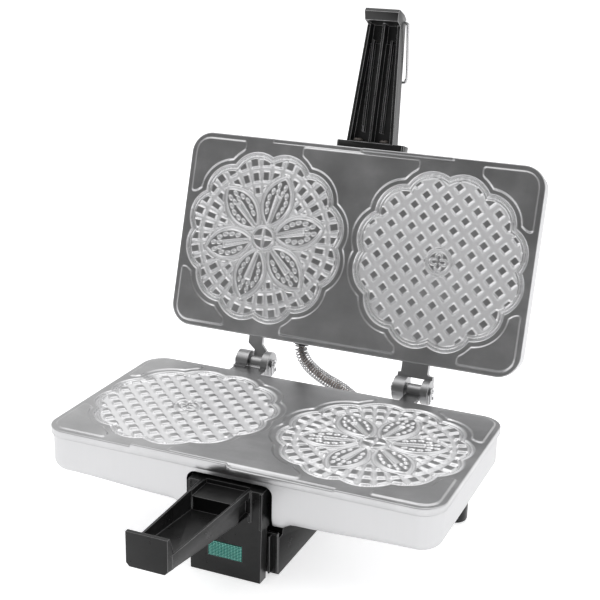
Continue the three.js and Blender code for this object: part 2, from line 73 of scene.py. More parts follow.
# ---- camera, at the photograph's angle ----
def camera():
    data = bpy.data.cameras.new("camera")
    data.sensor_width = 36
    data.lens = 75.47
    data.clip_start = 0.05
    data.clip_end = 200
    obj = bpy.data.objects.new("camera", data)
    bpy.context.scene.collection.objects.link(obj)
    az, el, roll = (math.radians(v) for v in (23.11, 18.356, 1.254))
    back = Vector((math.sin(az) * math.cos(el), -math.cos(az) * math.cos(el), math.sin(el)))
    right = Vector((math.cos(az), math.sin(az), 0))
    up = back.cross(right)
    c, s = math.cos(roll), math.sin(roll)
    right, up = right * c + up * s, up * c - right * s
    obj.matrix_world = Matrix((
        (right.x, up.x, back.x, 0.30836),
        (right.y, up.y, back.y, (-689.61 - CENTRE_Y) / 1000),
        (right.z, up.z, back.z, (335.07 + TABLE) / 1000),
        (0, 0, 0, 1),
    ))
    bpy.context.scene.camera = obj


camera()


# ---- node materials ----
class Shader:
    """A small builder round one Principled material."""

    def __init__(self, name, **sockets):
        self.material = bpy.data.materials.new(name)
        self.material.use_nodes = True
        self.tree = self.material.node_tree
        self.shader = self.tree.nodes["Principled BSDF"]
        for key, value in sockets.items():
            self.shader.inputs[key.replace("_", " ")].default_value = value

    def node(self, kind, inputs=None, **settings):
        n = self.tree.nodes.new(kind)
        for key, value in settings.items():
            setattr(n, key, value)
        for key, value in (inputs or {}).items():
            if isinstance(value, bpy.types.NodeSocket):
                self.tree.links.new(value, n.inputs[key])
            else:
                n.inputs[key].default_value = value
        return n

    def link(self, source, socket):
        self.tree.links.new(source, self.shader.inputs[socket])

    def coords(self, scale=(1, 1, 1)):
        c = self.node("ShaderNodeTexCoord").outputs["Object"]
        return self.node("ShaderNodeMapping", {"Vector": c, "Scale": scale}).outputs[0]

    def noise(self, scale, detail=4, rough=0.6, stretch=(1, 1, 1)):
        inputs = {"Vector": self.coords(stretch), "Scale": scale, "Detail": detail, "Roughness": rough}
        return self.node("ShaderNodeTexNoise", inputs).outputs["Fac"]

    def ramp(self, fac, stops):
        n = self.node("ShaderNodeValToRGB", {"Fac": fac})
        n.color_ramp.elements[0].position, n.color_ramp.elements[0].color = stops[0][0], stops[0][1]
        n.color_ramp.elements[1].position, n.color_ramp.elements[1].color = stops[-1][0], stops[-1][1]
        for position, colour in stops[1:-1]:
            n.color_ramp.elements.new(position).color = colour
        return n.outputs["Color"]

    def span(self, fac, low, high):
        return self.node("ShaderNodeMapRange", {"Value": fac, "To Min": low, "To Max": high}).outputs[0]

    def mix(self, fac, a, b, blend="MIX"):
        n = self.node("ShaderNodeMix", data_type="RGBA", blend_type=blend)
        for socket, value in ((n.inputs[0], fac), (n.inputs[6], a), (n.inputs[7], b)):
            if isinstance(value, bpy.types.NodeSocket):
                self.tree.links.new(value, socket)
            else:
                socket.default_value = value
        return n.outputs[2]

    def maths(self, op, a, b):
        return self.node("ShaderNodeMath", {0: a, 1: b}, operation=op).outputs[0]

    def bump(self, height, strength, distance=0.001):
        n = self.node("ShaderNodeBump", {"Height": height, "Strength": strength, "Distance": distance})
        self.link(n.outputs[0], "Normal")


def grey(v, a=1.0):
    return (v, v, v * 1.01, a)


def make_cast(name, dark, light):
    """Cast aluminium: satin flats, steep groove walls with a painted highlight, rougher less metallic
    groove floors painted pale as painted light, and a fine grain.
    """
    m = Shader(name)
    wall = m.node("ShaderNodeAttribute", attribute_name="wall").outputs["Fac"]
    deep = m.node("ShaderNodeAttribute", attribute_name="deep").outputs["Fac"]
    patches = m.noise(24, 5, 0.6)
    streaks = m.noise(60, 4, 0.6, (0.25, 1, 1))
    grain = m.noise(2600, 3, 0.7)
    stops = [(0.28, grey(dark * 0.74)), (0.5, grey(dark)), (0.74, grey(dark * 1.5))]
    flat = m.ramp(m.maths("ADD", m.span(patches, 0, 0.7), m.span(streaks, 0, 0.3)), stops)
    flat = m.mix(m.span(grain, 0, 0.35), flat, grey(dark * 1.6))
    # Painted highlight: the wall mask mixes light grey onto steep faces in place of the studio's
    # reflection.
    cut = m.mix(wall, flat, grey(light))
    # Painted light: groove floors are painted pale as if softly lit. Their lower metallic and higher
    # roughness are the floors' rougher finish.
    m.link(m.mix(deep, cut, grey(light * 0.95)), "Base Color")
    m.link(m.span(deep, 1.0, 0.55), "Metallic")
    m.link(m.maths("ADD", m.span(patches, 0.24, 0.40), m.span(deep, 0.0, 0.08)), "Roughness")
    m.bump(grain, 0.22, 0.0002)
    return m.material


def make_polished(name, tone):
    """Polished sheet with faint ripple, haze and hairline scratches."""
    m = Shader(name, Metallic=1.0)
    haze = m.noise(22, 5, 0.6)
    hair = m.noise(900, 2, 0.5, (1, 1, 0.03))
    m.link(m.ramp(haze, [(0.25, grey(tone * 0.95)), (0.75, grey(tone))]), "Base Color")
    m.link(m.maths("ADD", m.span(haze, 0.36, 0.48), m.span(hair, -0.03, 0.05)), "Roughness")
    m.bump(m.noise(16, 2, 0.4), 0.10, 0.002)
    return m.material


def make_phenolic(name, gloss, tone):
    """Black moulded phenolic: glossy skin with flow marks and fingerprints."""
    m = Shader(name, Specular_IOR_Level=gloss)
    flow = m.noise(60, 6, 0.65)
    fine = m.noise(1500, 2, 0.6)
    m.link(m.ramp(flow, [(0.3, grey(tone * 0.7)), (0.7, grey(tone * 1.3))]), "Base Color")
    m.link(m.span(flow, 0.22, 0.36), "Roughness")
    m.bump(m.mix(0.4, m.noise(180, 3, 0.5), fine), 0.10, 0.0004)
    return m.material


def make_steel(name, tone, rough, stretch=(1, 1, 1)):
    m = Shader(name, Metallic=1.0)
    brushed = m.noise(700, 3, 0.6, stretch)
    m.link(m.ramp(brushed, [(0.3, grey(tone * 0.82)), (0.7, grey(tone))]), "Base Color")
    m.link(m.span(brushed, rough * 0.8, rough * 1.3), "Roughness")
    m.bump(brushed, 0.08, 0.0002)
    return m.material


def make_dull(name, colour, rough, bumpy=0.2, scale=400):
    m = Shader(name)
    n = m.noise(scale, 4, 0.6)
    dark = tuple(c * 0.75 for c in colour[:3]) + (1,)
    m.link(m.ramp(n, [(0.3, dark), (0.7, colour)]), "Base Color")
    m.link(m.span(n, rough * 0.85, min(1, rough * 1.1)), "Roughness")
    m.bump(n, bumpy, 0.0004)
    return m.material


def make_lens(name):
    """Green translucent plastic with a moulded grid of tiny prisms."""
    m = Shader(name, Transmission_Weight=0.25, IOR=1.5)
    x, z = (m.node("ShaderNodeSeparateXYZ", {0: m.coords()}).outputs[i] for i in (0, 2))
    z = m.maths("SUBTRACT", z, 0.0121)
    waves = [m.maths("SINE", m.maths("MULTIPLY", c, k), 0.0) for c, k in ((x, 3031.0), (z, 3050.0))]
    dots = m.maths("ABSOLUTE", m.maths("MULTIPLY", waves[0], waves[1]), 0.0)
    face = m.span(dots, 0.0, 1.0)
    # Painted light: the pale prism tops are painted glints and the dark lines between the prisms are
    # painted shade.
    dark, mid, pale = (0.004, 0.13, 0.10, 1), (0.04, 0.46, 0.37, 1), (0.42, 0.95, 0.84, 1)
    colour = m.ramp(face, [(0.15, dark), (0.4, mid), (0.8, pale)])
    m.link(colour, "Base Color")
    m.link(m.span(dots, 0.18, 0.34), "Roughness")
    m.bump(face, 0.5, 0.0006)
    return m.material


MAT = {
    "cast": make_cast("cast_aluminium_look", 0.36, 0.84),
    # The hinge copy of the cast finish is darker (0.30 against 0.36): painted shade.
    "hinge": make_cast("hinge_painted_shade_look", 0.30, 0.80),
    "polished": make_polished("polished_shell_look", 0.60),
    "phenolic": make_phenolic("phenolic_look", 0.24, 0.014),
    "phenolic_upper": make_phenolic("phenolic_upper_look", 0.55, 0.009),
    # Lighter copies of the phenolic laid on bevelled edges as a painted highlight, brightest on the upper
    # handle.
    "painted_edge_highlight": make_phenolic("phenolic_painted_edge_highlight_look", 0.5, 0.12),
    "painted_edge_highlight_upper": make_phenolic("phenolic_painted_edge_highlight_upper_look", 0.6, 0.45),
    # A darker, less glossy copy of the phenolic for the channel and seal; its darker tone is painted shade.
    "phenolic_painted_shade": make_phenolic("phenolic_painted_shade_look", 0.06, 0.006),
    "steel": make_steel("steel_look", 0.72, 0.24),
    "screw": make_dull("screw_look", (0.10, 0.085, 0.075, 1), 0.4),
    "spring": make_steel("spring_look", 0.42, 0.26, (0.3, 1, 1)),
    "rubber": make_dull("rubber_look", (0.018, 0.018, 0.018, 1), 0.7),
    "sleeve": make_dull("sleeve_look", (0.66, 0.55, 0.50, 1), 0.8, 0.5, 900),
    "ceramic": make_dull("ceramic_look", (0.72, 0.68, 0.60, 1), 0.6),
    "lens": make_lens("lens_look"),
    "glass": make_dull("neon_look", (0.62, 0.66, 0.60, 1), 0.15, 0.02),
    "sheet": make_steel("sheet_look", 0.6, 0.35, (1, 0.05, 1)),
}


# ---- mesh helpers ----
def new_object(name, verts, faces, material, body, smooth=True):
    mesh = bpy.data.meshes.new(name)
    mesh.from_pydata([tuple(v) for v in verts], [], [tuple(f) for f in faces])
    mesh.validate()
    mesh.update()
    mesh.materials.append(material)
    obj = bpy.data.objects.new(name, mesh)
    bpy.context.scene.collection.objects.link(obj)
    if smooth:
        mesh.polygons.foreach_set("use_smooth", [True] * len(mesh.polygons))
    if body:
        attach(obj, body)
    return obj


def tidy_normals(obj, angle=40):
    """Outward normals, with creases kept sharp."""
    bm = bmesh.new()
    bm.from_mesh(obj.data)
    bmesh.ops.recalc_face_normals(bm, faces=bm.faces)
    limit = math.radians(angle)
    for e in bm.edges:
        if len(e.link_faces) == 2 and e.calc_face_angle(0) > limit:
            e.smooth = False
    bm.to_mesh(obj.data)
    bm.free()
    return obj


def bevel(obj, width, segments=3, angle=28, painted_edge_highlight=None):
    """Rounds the sharp edges; a lighter material may be given to the rounded strips as a painted highlight.
    """
    m = obj.modifiers.new("bevel", "BEVEL")
    if painted_edge_highlight:
        obj.data.materials.append(painted_edge_highlight)
        m.material = 1
    m.width = width / 1000
    m.segments = segments
    m.limit_method = "ANGLE"
    m.angle_limit = math.radians(angle)
    m.harden_normals = True
    m.use_clamp_overlap = painted_edge_highlight is None
    return obj


def refine(node, material, body, width, segments=3, name=None, angle=28, painted_edge_highlight=None):
    """The CAD solid with its flat faces joined, its edges rounded and a node finish, with a painted
    highlight on the rounded strips where one is given.
    """
    source = nodes[node].data
    bm = bmesh.new()
    bm.from_mesh(source)
    bmesh.ops.remove_doubles(bm, verts=bm.verts, dist=2e-6)
    bmesh.ops.dissolve_limit(bm, angle_limit=math.radians(1.0), verts=bm.verts, edges=bm.edges)
    mesh = bpy.data.meshes.new(name or node + "_look")
    bm.to_mesh(mesh)
    bm.free()
    mesh.materials.clear()
    mesh.materials.append(material)
    obj = bpy.data.objects.new(name or node + "_look", mesh)
    bpy.context.scene.collection.objects.link(obj)
    mesh.polygons.foreach_set("use_smooth", [True] * len(mesh.polygons))
    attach(obj, body)
    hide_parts(node)
    if width:
        bevel(obj, width, segments, angle, painted_edge_highlight)
    return obj


# ---- the pattern of the castings, as depths on a plan ----
def groove(d, half, flat=0.35):
    """1 inside a groove's floor, falling to 0 at its edge."""
    t = np.clip((half - np.abs(d)) / (half - flat), 0, 1)
    return t * (0.7 + 0.3 * t * (3 - 2 * t))


def inside_scallop(dx, dy):
    """Distance inside the scalloped outline of a cookie."""
    r, t = np.hypot(dx, dy), np.arctan2(dy, dx)
    lobe = math.radians(30)
    local = (t - lobe / 2) / lobe
    local = (local - np.round(local)) * lobe
    rc = 0.66 * FLOWER_R
    rl = FLOWER_R - rc
    px, py = r * np.cos(local) - rc, r * np.sin(local)
    return np.maximum(rl - np.hypot(px, py), rc + 5 - r)


def border(s):
    return np.maximum(groove(s - 1.1, 1.1, 0.2), groove(s - 3.2, 1.1, 0.2) * 0.85)


def pads(a, b, half):
    """0 on square pads of a half-width, rising to 1 on the groove floor round them."""
    over = np.hypot(np.maximum(np.abs(a) - half + 0.5, 0), np.maximum(np.abs(b) - half + 0.5, 0)) - 0.5
    return np.clip(over / 0.95, 0, 1) * 0.86 + 0.14 * np.clip(over / 2.9, 0, 1)


def grid_cookie(dx, dy):
    """Square pads between broad diagonal grooves, round a small rosette."""
    pitch = 10.71
    s = inside_scallop(dx, dy)
    u, v = (dx + dy) / math.sqrt(2) / pitch, (dy - dx) / math.sqrt(2) / pitch
    depth = pads((u - np.round(u)) * pitch, (v - np.round(v)) * pitch, 2.45)
    depth = depth * np.clip((s - 3.6) / 1.1, 0, 1)
    r, t = np.hypot(dx, dy), np.arctan2(dy, dx)
    leaves = groove(r - 6.0 * np.abs(np.cos(2 * t)) ** 0.6, 1.0, 0.2) * 0.8
    rosette = np.maximum(groove(r - 8.6, 1.5, 0.6), leaves)
    depth = np.where(r < 10.1, rosette, depth)
    return np.maximum(depth, border(s)), s


def petal_width(p):
    s = np.clip((p - 7.5) / (48.5 - 7.5), 0, 1)
    return 12.6 * (4 * s * (1 - s)) ** 0.78


def daisy_cookie(dx, dy):
    """Six petals with stems and seeds on a ground of pads in rings, round a boss with a plain star."""
    s = inside_scallop(dx, dy)
    r, t = np.hypot(dx, dy), np.arctan2(dy, dx)

    def local(step, start):
        a = t - start
        a = a - np.round(a / step) * step
        return r * np.cos(a), r * np.sin(a)

    p, q = local(math.radians(60), math.radians(15))
    width = petal_width(p)
    slope = (petal_width(p + 0.4) - petal_width(p - 0.4)) / 0.8
    edge = (width - np.abs(q)) / np.sqrt(1 + np.clip(slope, -3, 3) ** 2)
    edge = np.where((p > 48.5) | (p < 7.5), -9, edge)
    # Ground of small pads, in rings of thirty-six.
    _, across = local(math.radians(10), math.radians(5))
    ground = np.ones_like(r)
    for ring, half, long_ in ((35.2, 1.7, 2.4), (45.4, 2.2, 3.2), (56.0, 2.7, 3.0)):
        ground = np.minimum(ground, pads(across, (r - ring) * half / long_, half))
    ground = ground * np.clip((s - 3.6) / 1.1, 0, 1)
    # Raised petals, with stems and seeds cut into them.
    stem = np.clip((0.7 + 0.062 * p - np.abs(q)) / 0.7, 0, 1) * np.clip((p - 10.5) / 0.8, 0, 1)
    stem = stem * np.clip((33 - p) / 1.2, 0, 1)
    stem = stem * (1 - 0.35 * groove(q, 0.5, 0.1))
    seeds = np.zeros_like(r)
    for at, off in ((19.5, 4.9), (24.4, 6.4), (29.5, 7.0), (34.6, 5.6), (35.4, 2.0), (40.0, 2.6)):
        d = np.hypot((p - at) / 2.1, (np.abs(q) - off) / 1.15)
        seeds = np.maximum(seeds, np.clip((1.1 - d) / 0.45, 0, 1))
    field = np.maximum(stem, seeds * 0.85) * np.clip((edge - 2.4) / 0.6, 0, 1)
    petal = np.maximum(field, np.clip((2.7 - edge) / 0.9, 0, 1))
    depth = np.where(edge > -1, petal, ground)
    ridge = groove(edge + 0.2, 0.6, 0.1) * 0.35
    depth = np.clip(depth - ridge, 0, 1)
    arm = np.minimum(np.abs(dx), np.abs(dy))
    star = groove(arm, np.clip(2.3 - 0.24 * r, 0.5, 3), 0.1) * 0.9
    boss = np.maximum(groove(r - 8.9, 1.3, 0.6), star * np.clip((7.6 - r) / 0.6, 0, 1))
    depth = np.where(r < 10.1, boss, depth)
    return np.maximum(depth, border(s)), s


def soft_min(*values):
    out = values[0]
    for v in values[1:]:
        h = np.clip(0.5 + 0.5 * (v - out) / 2.0, 0, 1)
        out = v * (1 - h) + out * h - 2.0 * h * (1 - h)
    return out


def relief(x, y):
    """Height of the casting's working face over its plan."""
    gd, gs = grid_cookie(x + FLOWER_X, y - FLOWER_Y)
    dd, ds = daisy_cookie(x - FLOWER_X, y - FLOWER_Y)
    s = np.maximum(gs, ds)
    near = np.hypot(np.abs(x) - FLOWER_X, y - FLOWER_Y)
    # Raised lands between the cookies and the rim.
    rim = soft_min(HALF_W - 3.2 - np.abs(x), HALF_D - 3.2 - np.abs(y))
    over_x = np.maximum(np.abs(x) - HALF_W + CORNER, 0)
    over_y = np.maximum(np.abs(y) - HALF_D + CORNER, 0)
    corner = CORNER - 3.2 - np.hypot(over_x, over_y)
    ends = soft_min(np.abs(np.abs(x) - FLOWER_X) - 22.5, 50 + 0 * x)
    side = np.where(np.abs(x) > 121, np.abs(y - FLOWER_Y) - 28, 50.0)
    land = soft_min(rim, corner, -s - 3.3, ends, side)
    z = -FIELD + 0.8 * np.clip(land / 0.9, 0, 1)
    z = z - 1.55 * np.where(near < 70, np.maximum(gd, dd), 0)
    # Lip at the left and rebate at the right of the front edge.
    front = HALF_D + y
    lip = np.clip((2.24 - front) / 0.12, 0, 1) * np.clip((x + 68.5) / 0.6, 0, 1)
    lip = lip * np.clip((-0.8 - x) / 0.6, 0, 1)
    z = z + lip * 1.75
    step = np.clip((3.04 - front) / 0.12, 0, 1) * np.clip((x - 0.4) / 0.6, 0, 1)
    step = step * np.clip((69.2 - x) / 0.6, 0, 1)
    return z - step * 0.8


def rounded(u, v, half_u, half_v, radius):
    """Draws the grid lines of a rectangle in so that its corners are round."""
    a = np.maximum(np.abs(u) - (half_u - radius), 0)
    b = np.maximum(np.abs(v) - (half_v - radius), 0)
    both = (a > 0) & (b > 0)
    f = np.where(both, np.maximum(a, b) / np.maximum(np.hypot(a, b), 1e-9), 1)
    nu = np.where(both, np.sign(u) * (half_u - radius + a * f), u)
    nv = np.where(both, np.sign(v) * (half_v - radius + b * f), v)
    return nu, nv


def casting(name, body, node, lid):
    edge = 0.7
    step = 0.55
    nx, ny = int(2 * HALF_W / step), int(2 * HALF_D / step)
    hw, hd = HALF_W - edge, HALF_D - edge
    front = np.array([edge, 1.2, 1.7, 2.12, 2.24, 2.6, 2.92, 3.04, 3.5]) - HALF_D
    rows = np.concatenate([front, np.linspace(4 - HALF_D, hd, ny + 1 - len(front))])
    gx, gy = np.meshgrid(np.linspace(-hw, hw, nx + 1), rows, indexing="ij")
    gx, gy = rounded(gx, gy, hw, hd, CORNER - edge)
    gz = relief(gx, gy)
    top = np.stack([gx, gy, gz], -1).reshape(-1, 3)
    index = np.arange((nx + 1) * (ny + 1)).reshape(nx + 1, ny + 1)
    quads = np.stack([index[:-1, :-1], index[1:, :-1], index[1:, 1:], index[:-1, 1:]], -1).reshape(-1, 4)
    ring = np.concatenate([index[:-1, 0], index[-1, :-1], index[:0:-1, -1], index[0, :0:-1]])
    base = top[ring]
    out = np.zeros((len(ring), 2))
    cx = np.clip(base[:, 0], -HALF_W + CORNER, HALF_W - CORNER)
    cy = np.clip(base[:, 1], -HALF_D + CORNER, HALF_D - CORNER)
    out[:, 0], out[:, 1] = base[:, 0] - cx, base[:, 1] - cy
    flat_x, flat_y = np.abs(base[:, 0]) > hw - 1e-6, np.abs(base[:, 1]) > hd - 1e-6
    out[flat_x & ~flat_y & (np.abs(base[:, 1]) <= HALF_D - CORNER), 1] = 0
    out[flat_y & ~flat_x & (np.abs(base[:, 0]) <= HALF_W - CORNER), 0] = 0
    out /= np.linalg.norm(out, axis=1)[:, None]
    verts, faces, last = [top], [], ring
    n = len(ring)
    count = len(top)
    for grow, drop in ((0.38, 0.1), (0.62, 0.35), (0.7, 0.7), (0.7, None), (0.35, -1.0)):
        loop = base.copy()
        loop[:, :2] += out * grow
        if drop is None:
            loop[:, 2] = -BAND + 0.35
        elif drop < 0:
            loop[:, 2] = -BAND
        else:
            loop[:, 2] -= drop
        fresh = np.arange(count, count + n)
        nxt = np.roll(np.arange(n), -1)
        faces.append(np.stack([last, fresh, fresh[nxt], last[nxt]], -1))
        verts.append(loop)
        last, count = fresh, count + n
    verts = np.concatenate(verts)
    # Masks for the cast finish's painted light. wall is a painted highlight on steep faces: strong in the
    # cookies, weak elsewhere and on the rim band. deep paints the groove floors pale.
    wall, deep = np.zeros(len(verts)), np.zeros(len(verts))
    steep = np.hypot(np.gradient(gz, axis=0), np.gradient(gz, axis=1)) / step
    pattern = np.hypot(np.abs(gx) - FLOWER_X, gy - FLOWER_Y) < 64.5
    wall[: len(top)] = (np.clip(steep / 0.9, 0, 1) * np.where(pattern, 0.9, 0.3)).reshape(-1)
    deep[: len(top)] = np.clip((-FIELD - 0.9 - gz) / 0.5, 0, 1).reshape(-1)
    wall[len(top):] = 0.3
    if lid:
        verts = verts * [-1, 1, -1] + [0, 0, GAP]
    skin = np.concatenate([quads] + faces).tolist() + [last.tolist()[::-1]]
    obj = new_object(name, place(verts, lid), skin,
                     MAT["cast"], body)
    for label, values in (("wall", wall), ("deep", deep)):
        attribute = obj.data.attributes.new(label, "FLOAT", "POINT")
        attribute.data.foreach_set("value", values.astype(np.float32))
    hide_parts(node)
    return obj


casting("base_plate_look", "base", "base_plate", False)
casting("lid_plate_look", "lid", "lid_plate", True)


# ---- more mesh helpers ----
def plan_loop(half_w, half_d, radius, segments=14):
    """Rounded rectangle, counter-clockwise, as points round its four corner arcs."""
    points = []
    for k, (sx, sy) in enumerate(((1, -1), (1, 1), (-1, 1), (-1, -1))):
        start = -90 + 90 * k
        for i in range(segments + 1):
            a = math.radians(start + 90 * i / segments)
            x = sx * (half_w - radius) + radius * math.cos(a)
            points.append((x, sy * (half_d - radius) + radius * math.sin(a)))
    return points


def loft(name, loops, material, body, lid=False, closed_ends=True, angle=40):
    """Skins a list of equal loops of plate-frame points, capped at both ends."""
    n = len(loops[0])
    verts = np.array([p for loop in loops for p in loop], float)
    faces = []
    for j in range(len(loops) - 1):
        for i in range(n):
            k = (i + 1) % n
            faces.append((j * n + i, j * n + k, (j + 1) * n + k, (j + 1) * n + i))
    if closed_ends:
        faces.append(tuple(range(n))[::-1])
        faces.append(tuple(range((len(loops) - 1) * n, len(loops) * n)))
    obj = new_object(name, place(verts, lid), faces, material, body)
    return tidy_normals(obj, angle)


def lathe(name, profile, material, body, at, axis="Z", segments=40, lid=False, angle=35):
    """Turns (radius, height) pairs about an axis through a point; the profile ends on the axis."""
    loops = []
    for r, h in profile:
        ring = []
        for i in range(segments):
            a = 2 * math.pi * i / segments
            u, v = max(r, 0.001) * math.cos(a), max(r, 0.001) * math.sin(a)
            d = {"Z": (u, v, h), "Y": (v, h, u), "X": (h, u, v)}[axis]
            ring.append((at[0] + d[0], at[1] + d[1], at[2] + d[2]))
        loops.append(ring)
    return loft(name, loops, material, body, lid, angle=angle)


def smooth_path(points, steps):
    """Catmull-Rom through a list of points."""
    p = np.array(points, float)
    p = np.vstack([2 * p[0] - p[1], p, 2 * p[-1] - p[-2]])
    out = []
    for i in range(1, len(p) - 2):
        for t in np.linspace(0, 1, steps, endpoint=False):
            a, b, c, d = p[i - 1], p[i], p[i + 1], p[i + 2]
            out.append(0.5 * (2 * b + (c - a) * t + (2 * a - 5 * b + 4 * c - d) * t ** 2
                              + (3 * b - a - 3 * c + d) * t ** 3))
    out.append(p[-2])
    return np.array(out)


def frames_along(path):
    """Unit tangents and a twist-free pair of normals along a path."""
    tangent = np.gradient(path, axis=0)
    tangent /= np.linalg.norm(tangent, axis=1)[:, None]
    start = np.cross(tangent[0], (0.123, 0.456, 0.881))
    u = [start / np.linalg.norm(start)]
    for t in tangent[1:]:
        v = u[-1] - t * np.dot(u[-1], t)
        u.append(v / np.linalg.norm(v))
    u = np.array(u)
    return tangent, u, np.cross(tangent, u)


def tube(name, path, radius, material, body, lid=False, sides=16, dome=True):
    """A round bar along a path, with slightly rounded ends."""
    path = np.array(path, float)
    t, u, v = frames_along(path)
    radii = np.full(len(path), float(radius))
    if dome:
        tip = radius * 0.35
        path = np.vstack([path[0] - t[0] * tip, path, path[-1] + t[-1] * tip])
        radii = np.concatenate([[radius * 0.72], radii, [radius * 0.72]])
        u, v = np.vstack([u[:1], u, u[-1:]]), np.vstack([v[:1], v, v[-1:]])
    loops = []
    for c, r, a, b in zip(path, radii, u, v):
        turn = np.linspace(0, 2 * math.pi, sides, endpoint=False)
        ring = [c + r * (a * math.cos(k) + b * math.sin(k)) for k in turn]
        loops.append(ring)
    return loft(name, loops, material, body, lid)


def boolean(obj, cutter, operation="DIFFERENCE"):
    """Cuts or joins with another mesh object, which is then removed."""
    m = obj.modifiers.new("cut", "BOOLEAN")
    m.operation = operation
    m.solver = "EXACT"
    m.object = cutter
    graph = bpy.context.evaluated_depsgraph_get()
    mesh = bpy.data.meshes.new_from_object(obj.evaluated_get(graph))
    obj.modifiers.clear()
    obj.data = mesh
    bpy.data.objects.remove(cutter)
    return obj


def block(name, x0, x1, y0, y1, z0, z1, material, body, lid=False):
    loops = [[(x0, y0, z), (x1, y0, z), (x1, y1, z), (x0, y1, z)] for z in (z0, z1)]
    return loft(name, loops, material, body, lid)


def slab(name, outline, at0, at1, axis, material, body, lid=False, angle=40):
    """A prism along an axis on an outline given in the other two coordinates, in order."""
    def point(a, b, c):
        return {"X": (c, a, b), "Y": (a, c, b), "Z": (a, b, c)}[axis]
    loops = [[point(a, b, c) for a, b in outline] for c in (at0, at1)]
    return loft(name, loops, material, body, lid, angle=angle)


def round_rect(x0, x1, y0, y1, r, segments=8):
    cx, cy = (x0 + x1) / 2, (y0 + y1) / 2
    return [(cx + x, cy + y) for x, y in plan_loop((x1 - x0) / 2, (y1 - y0) / 2, r, segments)]


# ---- polished housings ----
def drop(x, y, z):
    """How far the base housing's front edge hangs: a slow bow, and a lip beside the block."""
    def ease(t):
        t = min(max(t, 0), 1)
        return t * t * (3 - 2 * t)
    low = ease((-20 - z) / 9) * ease((-60 - y) / 5)
    return low * (2.6 * ease((118 - abs(x)) / 75) + 3.6 * ease((41 - abs(x)) / 8))


def housing(name, node, body, depth, fillet, lid):
    """A deep-drawn pan with a rolled top edge, straight sides and a filleted bottom."""
    def ring(inset, z):
        r = max(CORNER - inset, 1.5)
        corners = plan_loop(HALF_W - inset, HALF_D - inset, r)
        out = []
        for k, (x, y) in enumerate(corners):
            out.append((x, y))
            if k % 15 == 14:
                nx, ny = corners[(k + 1) % len(corners)]
                count = 48 if abs(nx - x) > abs(ny - y) else 6
                out += [(x + (nx - x) * i / count, y + (ny - y) * i / count) for i in range(1, count)]
        if lid:
            return [(-x, y, GAP - z) for x, y in out]
        return [(x, y, z - drop(x, y, z)) for x, y in out]
    i0, wall, top = SHELL_INSET, 1.4, -BAND - GAP
    loops = []
    steps = 9
    for k in range(steps + 1):
        a = math.pi / 2 * k / steps
        r = fillet - wall
        loops.append(ring(i0 + wall + r * (1 - math.sin(a)), -depth + wall + r * (1 - math.cos(a))))
    loops.append(ring(i0 + wall, top - 0.4))
    loops.append(ring(i0 + wall * 0.7, top))
    loops.append(ring(i0 + 0.3, top))
    loops.append(ring(i0, top - 0.4))
    for k in range(steps + 1):
        a = math.pi / 2 * k / steps
        loops.append(ring(i0 + fillet * (1 - math.cos(a)), -depth + fillet * (1 - math.sin(a))))
    loops.insert(0, ring(i0 + wall + fillet + 2, -depth + wall))
    for inset in (1, 4):
        loops.append(ring(i0 + fillet + inset, -depth))
    obj = loft(name, loops, MAT["polished"], body, lid, angle=50)
    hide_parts(node)
    return obj


base_shell = housing("base_shell_look", "base_shell", "base", BASE_DEPTH, 7, False)
lid_shell = housing("lid_shell_look", "lid_shell", "lid", LID_DEPTH, 10, True)


def cut_round(obj, x, y0, y1, z, r, axis="Y", lid=False):
    profile = [(0, y0), (r, y0), (r, y1), (0, y1)]
    at = (x, 0, z) if axis == "Y" else (x, z, 0)
    boolean(obj, lathe("cutter", profile, MAT["polished"], "base", at, axis, 32, lid))


notch = slab("cutter", round_rect(-29, 29, -60, -9, 6), -90, -58, "Y", MAT["polished"], "base")
boolean(base_shell, notch)
for x in (36, -36):
    cut_round(base_shell, x, 60, 90, -19, 5.4)
for x in (-60, 60):
    cut_round(base_shell, x, -40, -20, 8, 2.4, "Z")
    cut_round(lid_shell, x, 20, 40, 8, 2.4, "Z", True)
for x in (-10, 10):
    cut_round(lid_shell, x, -90, -60, 18.2, 2.3, "Y", True)
cut_round(lid_shell, -31, 60, 90, 15.5, 5.4, "Y", True)
boolean(base_shell, block("cutter", -20, 20, -40, -10, -40, -20, MAT["polished"], "base"))
for shell in (base_shell, lid_shell):
    tidy_normals(shell, 35)


# ---- hinge halves on the castings ----
def hinge_block(name, body, parts):
    """Joins overlapping solids into one casting and rounds its edges."""
    first, rest = parts[0], parts[1:]
    for other in rest:
        boolean(first, other, "UNION")
    bore = [(0, -90), (2.7, -90), (2.7, 90), (0, 90)]
    at = (0, HINGE_Y, HINGE_Z)
    boolean(first, lathe("cutter", bore, MAT["hinge"], body, at, "X", 32))
    first.name = name
    first.data.name = name
    # A faint painted highlight over the whole hinge, through the cast finish's wall mask.
    attribute = first.data.attributes.new("wall", "FLOAT", "POINT")
    attribute.data.foreach_set("value", np.full(len(first.data.vertices), 0.04, np.float32))
    bevel(first, 0.5, 3)
    return first


def lug(x0, x1, r, body, lid=False):
    profile = [(0, x0), (r, x0), (r, x1), (0, x1)]
    return lathe("lug", profile, MAT["hinge"], body, (0, HINGE_Y, HINGE_Z), "X", 48, lid)


def bar(x0, x1, y0, y1, z0, z1, body, lid=False):
    return block("bar", x0, x1, y0, y1, z0, z1, MAT["hinge"], body, lid)


